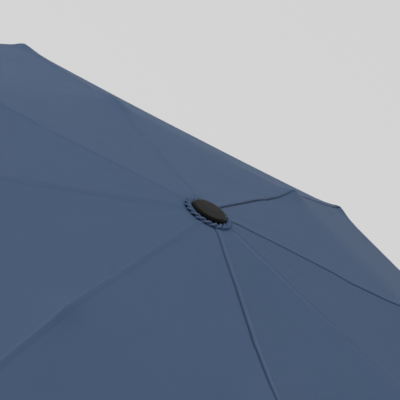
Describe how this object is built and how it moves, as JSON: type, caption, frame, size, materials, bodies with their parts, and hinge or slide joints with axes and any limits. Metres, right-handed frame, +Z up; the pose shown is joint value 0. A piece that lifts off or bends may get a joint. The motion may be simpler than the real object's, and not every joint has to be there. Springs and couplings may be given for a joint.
{
  "type": "folding umbrella",
  "caption": "Open compact umbrella with a domed fabric canopy on folding ribs, a telescopic shaft, a sliding runner, a flat top cap and a plain handle.",
  "frame": {"origin": "centre of the flat end of the handle", "axes": "+Z up the shaft to the top cap, +X along the first rib"},
  "size_m": [0.9928, 0.9928, 0.5769],
  "materials": {
    "canopy_fabric": "slate blue pongee, fine plain weave",
    "strap_fabric": "slate blue woven strap",
    "black_plastic": "satin black moulded plastic",
    "hub_plastic": "matte black moulded plastic",
    "painted_steel": "black enamel",
    "bright_steel": "polished plated steel",
    "fibreglass": "black fibreglass rod"
  },
  "bodies": {
    "shaft_top": {"upper_tube": "painted_steel", "upper_tube_collar": "hub_plastic", "crown": "hub_plastic", "crown_wire": "bright_steel", "shaft_plug": "hub_plastic", "top_cap": "black_plastic", "ruffle_ring": "canopy_fabric", "canopy": "canopy_fabric"},
    "middle_shaft": {"middle_tube": "bright_steel", "middle_tube_collar": "hub_plastic"},
    "lower_shaft": {"lower_tube": "bright_steel", "handle_grip": "black_plastic", "handle_end_cap": "hub_plastic", "handle_ferrule": "bright_steel"},
    "runner": {"runner": "hub_plastic"},
    "runner_button": {"runner_button": "black_plastic"},
    "top_rib_1": {"top_rib_1": "painted_steel"},
    "stretcher_1": {"stretcher_1": "painted_steel"},
    "middle_rib_1": {"middle_rib_1": "painted_steel"},
    "outer_rib_1": {"outer_rib_1": "fibreglass", "rib_tip_1": "hub_plastic"},
    "top_rib_2": {"top_rib_2": "painted_steel"},
    "stretcher_2": {"stretcher_2": "painted_steel"},
    "middle_rib_2": {"middle_rib_2": "painted_steel"},
    "outer_rib_2": {"outer_rib_2": "fibreglass", "rib_tip_2": "hub_plastic"},
    "top_rib_3": {"top_rib_3": "painted_steel"},
    "stretcher_3": {"stretcher_3": "painted_steel"},
    "middle_rib_3": {"middle_rib_3": "painted_steel"},
    "outer_rib_3": {"outer_rib_3": "fibreglass", "rib_tip_3": "hub_plastic"},
    "top_rib_4": {"top_rib_4": "painted_steel"},
    "stretcher_4": {"stretcher_4": "painted_steel"},
    "middle_rib_4": {"middle_rib_4": "painted_steel"},
    "outer_rib_4": {"outer_rib_4": "fibreglass", "rib_tip_4": "hub_plastic"},
    "top_rib_5": {"top_rib_5": "painted_steel"},
    "stretcher_5": {"stretcher_5": "painted_steel"},
    "middle_rib_5": {"middle_rib_5": "painted_steel"},
    "outer_rib_5": {"outer_rib_5": "fibreglass", "rib_tip_5": "hub_plastic"},
    "top_rib_6": {"top_rib_6": "painted_steel"},
    "stretcher_6": {"stretcher_6": "painted_steel"},
    "middle_rib_6": {"middle_rib_6": "painted_steel"},
    "outer_rib_6": {"outer_rib_6": "fibreglass", "rib_tip_6": "hub_plastic", "closing_strap": "strap_fabric", "strap_snap": "bright_steel"},
    "top_rib_7": {"top_rib_7": "painted_steel"},
    "stretcher_7": {"stretcher_7": "painted_steel"},
    "middle_rib_7": {"middle_rib_7": "painted_steel"},
    "outer_rib_7": {"outer_rib_7": "fibreglass", "rib_tip_7": "hub_plastic"},
    "top_rib_8": {"top_rib_8": "painted_steel"},
    "stretcher_8": {"stretcher_8": "painted_steel"},
    "middle_rib_8": {"middle_rib_8": "painted_steel"},
    "outer_rib_8": {"outer_rib_8": "fibreglass", "rib_tip_8": "hub_plastic"}
  },
  "joints": [
    {"name": "middle_shaft_slide", "type": "slide", "parent": "shaft_top", "child": "middle_shaft", "axis": [0, 0, 1], "range_m": [0, 0.1467]},
    {"name": "lower_shaft_slide", "type": "slide", "parent": "middle_shaft", "child": "lower_shaft", "axis": [0, 0, 1], "range_m": [0, 0.1423]},
    {"name": "runner_slide", "type": "slide", "parent": "shaft_top", "child": "runner", "axis": [0, 0, -1], "range_m": [0, 0.13333], "deforming": ["canopy"]},
    {"name": "runner_button_press", "type": "slide", "parent": "runner", "child": "runner_button", "axis": [-0.9239, -0.3827, 0], "range_m": [0, 0.0016], "stiffness_N_per_m": 600, "springref_m": -0.001},
    {"name": "top_rib_1_hinge", "type": "hinge", "parent": "shaft_top", "child": "top_rib_1", "pos_m": [0.012, 0, 0.57], "axis": [0, 1, 0], "range_deg": [0, 82.01]},
    {"name": "stretcher_1_hinge", "type": "hinge", "parent": "top_rib_1", "child": "stretcher_1", "pos_m": [0.09909, 0, 0.55736], "axis": [0, 1, 0], "range_deg": [-149.07, 0]},
    {"name": "middle_rib_1_hinge", "type": "hinge", "parent": "top_rib_1", "child": "middle_rib_1", "pos_m": [0.18574, 0, 0.54881], "axis": [0, 1, 0], "range_deg": [-189.01, 0]},
    {"name": "outer_rib_1_hinge", "type": "hinge", "parent": "middle_rib_1", "child": "outer_rib_1", "pos_m": [0.35656, 0, 0.49188], "axis": [0, 1, 0], "range_deg": [0, 161.01]},
    {"name": "top_rib_2_hinge", "type": "hinge", "parent": "shaft_top", "child": "top_rib_2", "pos_m": [0.00848, 0.00848, 0.57], "axis": [-0.7071, 0.7071, 0], "range_deg": [0, 82.01]},
    {"name": "stretcher_2_hinge", "type": "hinge", "parent": "top_rib_2", "child": "stretcher_2", "pos_m": [0.07007, 0.07007, 0.55736], "axis": [-0.7071, 0.7071, 0], "range_deg": [-149.07, 0]},
    {"name": "middle_rib_2_hinge", "type": "hinge", "parent": "top_rib_2", "child": "middle_rib_2", "pos_m": [0.13134, 0.13134, 0.54881], "axis": [-0.7071, 0.7071, 0], "range_deg": [-189.01, 0]},
    {"name": "outer_rib_2_hinge", "type": "hinge", "parent": "middle_rib_2", "child": "outer_rib_2", "pos_m": [0.25213, 0.25213, 0.49188], "axis": [-0.7071, 0.7071, 0], "range_deg": [0, 161.01]},
    {"name": "top_rib_3_hinge", "type": "hinge", "parent": "shaft_top", "child": "top_rib_3", "pos_m": [0, 0.012, 0.57], "axis": [-1, 0, 0], "range_deg": [0, 82.01]},
    {"name": "stretcher_3_hinge", "type": "hinge", "parent": "top_rib_3", "child": "stretcher_3", "pos_m": [0, 0.09909, 0.55736], "axis": [-1, 0, 0], "range_deg": [-149.07, 0]},
    {"name": "middle_rib_3_hinge", "type": "hinge", "parent": "top_rib_3", "child": "middle_rib_3", "pos_m": [0, 0.18574, 0.54881], "axis": [-1, 0, 0], "range_deg": [-189.01, 0]},
    {"name": "outer_rib_3_hinge", "type": "hinge", "parent": "middle_rib_3", "child": "outer_rib_3", "pos_m": [0, 0.35656, 0.49188], "axis": [-1, 0, 0], "range_deg": [0, 161.01]},
    {"name": "top_rib_4_hinge", "type": "hinge", "parent": "shaft_top", "child": "top_rib_4", "pos_m": [-0.00848, 0.00848, 0.57], "axis": [-0.7071, -0.7071, 0], "range_deg": [0, 82.01]},
    {"name": "stretcher_4_hinge", "type": "hinge", "parent": "top_rib_4", "child": "stretcher_4", "pos_m": [-0.07007, 0.07007, 0.55736], "axis": [-0.7071, -0.7071, 0], "range_deg": [-149.07, 0]},
    {"name": "middle_rib_4_hinge", "type": "hinge", "parent": "top_rib_4", "child": "middle_rib_4", "pos_m": [-0.13134, 0.13134, 0.54881], "axis": [-0.7071, -0.7071, 0], "range_deg": [-189.01, 0]},
    {"name": "outer_rib_4_hinge", "type": "hinge", "parent": "middle_rib_4", "child": "outer_rib_4", "pos_m": [-0.25213, 0.25213, 0.49188], "axis": [-0.7071, -0.7071, 0], "range_deg": [0, 161.01]},
    {"name": "top_rib_5_hinge", "type": "hinge", "parent": "shaft_top", "child": "top_rib_5", "pos_m": [-0.012, 0, 0.57], "axis": [0, -1, 0], "range_deg": [0, 82.01]},
    {"name": "stretcher_5_hinge", "type": "hinge", "parent": "top_rib_5", "child": "stretcher_5", "pos_m": [-0.09909, 0, 0.55736], "axis": [0, -1, 0], "range_deg": [-149.07, 0]},
    {"name": "middle_rib_5_hinge", "type": "hinge", "parent": "top_rib_5", "child": "middle_rib_5", "pos_m": [-0.18574, 0, 0.54881], "axis": [0, -1, 0], "range_deg": [-189.01, 0]},
    {"name": "outer_rib_5_hinge", "type": "hinge", "parent": "middle_rib_5", "child": "outer_rib_5", "pos_m": [-0.35656, 0, 0.49188], "axis": [0, -1, 0], "range_deg": [0, 161.01]},
    {"name": "top_rib_6_hinge", "type": "hinge", "parent": "shaft_top", "child": "top_rib_6", "pos_m": [-0.00848, -0.00848, 0.57], "axis": [0.7071, -0.7071, 0], "range_deg": [0, 82.01]},
    {"name": "stretcher_6_hinge", "type": "hinge", "parent": "top_rib_6", "child": "stretcher_6", "pos_m": [-0.07007, -0.07007, 0.55736], "axis": [0.7071, -0.7071, 0], "range_deg": [-149.07, 0]},
    {"name": "middle_rib_6_hinge", "type": "hinge", "parent": "top_rib_6", "child": "middle_rib_6", "pos_m": [-0.13134, -0.13134, 0.54881], "axis": [0.7071, -0.7071, 0], "range_deg": [-189.01, 0]},
    {"name": "outer_rib_6_hinge", "type": "hinge", "parent": "middle_rib_6", "child": "outer_rib_6", "pos_m": [-0.25213, -0.25213, 0.49188], "axis": [0.7071, -0.7071, 0], "range_deg": [0, 161.01]},
    {"name": "top_rib_7_hinge", "type": "hinge", "parent": "shaft_top", "child": "top_rib_7", "pos_m": [0, -0.012, 0.57], "axis": [1, 0, 0], "range_deg": [0, 82.01]},
    {"name": "stretcher_7_hinge", "type": "hinge", "parent": "top_rib_7", "child": "stretcher_7", "pos_m": [0, -0.09909, 0.55736], "axis": [1, 0, 0], "range_deg": [-149.07, 0]},
    {"name": "middle_rib_7_hinge", "type": "hinge", "parent": "top_rib_7", "child": "middle_rib_7", "pos_m": [0, -0.18574, 0.54881], "axis": [1, 0, 0], "range_deg": [-189.01, 0]},
    {"name": "outer_rib_7_hinge", "type": "hinge", "parent": "middle_rib_7", "child": "outer_rib_7", "pos_m": [0, -0.35656, 0.49188], "axis": [1, 0, 0], "range_deg": [0, 161.01]},
    {"name": "top_rib_8_hinge", "type": "hinge", "parent": "shaft_top", "child": "top_rib_8", "pos_m": [0.00848, -0.00848, 0.57], "axis": [0.7071, 0.7071, 0], "range_deg": [0, 82.01]},
    {"name": "stretcher_8_hinge", "type": "hinge", "parent": "top_rib_8", "child": "stretcher_8", "pos_m": [0.07007, -0.07007, 0.55736], "axis": [0.7071, 0.7071, 0], "range_deg": [-149.07, 0]},
    {"name": "middle_rib_8_hinge", "type": "hinge", "parent": "top_rib_8", "child": "middle_rib_8", "pos_m": [0.13134, -0.13134, 0.54881], "axis": [0.7071, 0.7071, 0], "range_deg": [-189.01, 0]},
    {"name": "outer_rib_8_hinge", "type": "hinge", "parent": "middle_rib_8", "child": "outer_rib_8", "pos_m": [0.25213, -0.25213, 0.49188], "axis": [0.7071, 0.7071, 0], "range_deg": [0, 161.01]}
  ],
  "couplings": [
    {"joint": "top_rib_1_hinge", "follows": "runner_slide", "rad_per_m": 10.734},
    {"joint": "stretcher_1_hinge", "follows": "runner_slide", "rad_per_m": -19.512},
    {"joint": "middle_rib_1_hinge", "follows": "runner_slide", "rad_per_m": -24.74},
    {"joint": "outer_rib_1_hinge", "follows": "runner_slide", "rad_per_m": 21.075},
    {"joint": "top_rib_2_hinge", "follows": "runner_slide", "rad_per_m": 10.734},
    {"joint": "stretcher_2_hinge", "follows": "runner_slide", "rad_per_m": -19.512},
    {"joint": "middle_rib_2_hinge", "follows": "runner_slide", "rad_per_m": -24.74},
    {"joint": "outer_rib_2_hinge", "follows": "runner_slide", "rad_per_m": 21.075},
    {"joint": "top_rib_3_hinge", "follows": "runner_slide", "rad_per_m": 10.734},
    {"joint": "stretcher_3_hinge", "follows": "runner_slide", "rad_per_m": -19.512},
    {"joint": "middle_rib_3_hinge", "follows": "runner_slide", "rad_per_m": -24.74},
    {"joint": "outer_rib_3_hinge", "follows": "runner_slide", "rad_per_m": 21.075},
    {"joint": "top_rib_4_hinge", "follows": "runner_slide", "rad_per_m": 10.734},
    {"joint": "stretcher_4_hinge", "follows": "runner_slide", "rad_per_m": -19.512},
    {"joint": "middle_rib_4_hinge", "follows": "runner_slide", "rad_per_m": -24.74},
    {"joint": "outer_rib_4_hinge", "follows": "runner_slide", "rad_per_m": 21.075},
    {"joint": "top_rib_5_hinge", "follows": "runner_slide", "rad_per_m": 10.734},
    {"joint": "stretcher_5_hinge", "follows": "runner_slide", "rad_per_m": -19.512},
    {"joint": "middle_rib_5_hinge", "follows": "runner_slide", "rad_per_m": -24.74},
    {"joint": "outer_rib_5_hinge", "follows": "runner_slide", "rad_per_m": 21.075},
    {"joint": "top_rib_6_hinge", "follows": "runner_slide", "rad_per_m": 10.734},
    {"joint": "stretcher_6_hinge", "follows": "runner_slide", "rad_per_m": -19.512},
    {"joint": "middle_rib_6_hinge", "follows": "runner_slide", "rad_per_m": -24.74},
    {"joint": "outer_rib_6_hinge", "follows": "runner_slide", "rad_per_m": 21.075},
    {"joint": "top_rib_7_hinge", "follows": "runner_slide", "rad_per_m": 10.734},
    {"joint": "stretcher_7_hinge", "follows": "runner_slide", "rad_per_m": -19.512},
    {"joint": "middle_rib_7_hinge", "follows": "runner_slide", "rad_per_m": -24.74},
    {"joint": "outer_rib_7_hinge", "follows": "runner_slide", "rad_per_m": 21.075},
    {"joint": "top_rib_8_hinge", "follows": "runner_slide", "rad_per_m": 10.734},
    {"joint": "stretcher_8_hinge", "follows": "runner_slide", "rad_per_m": -19.512},
    {"joint": "middle_rib_8_hinge", "follows": "runner_slide", "rad_per_m": -24.74},
    {"joint": "outer_rib_8_hinge", "follows": "runner_slide", "rad_per_m": 21.075}
  ]
}
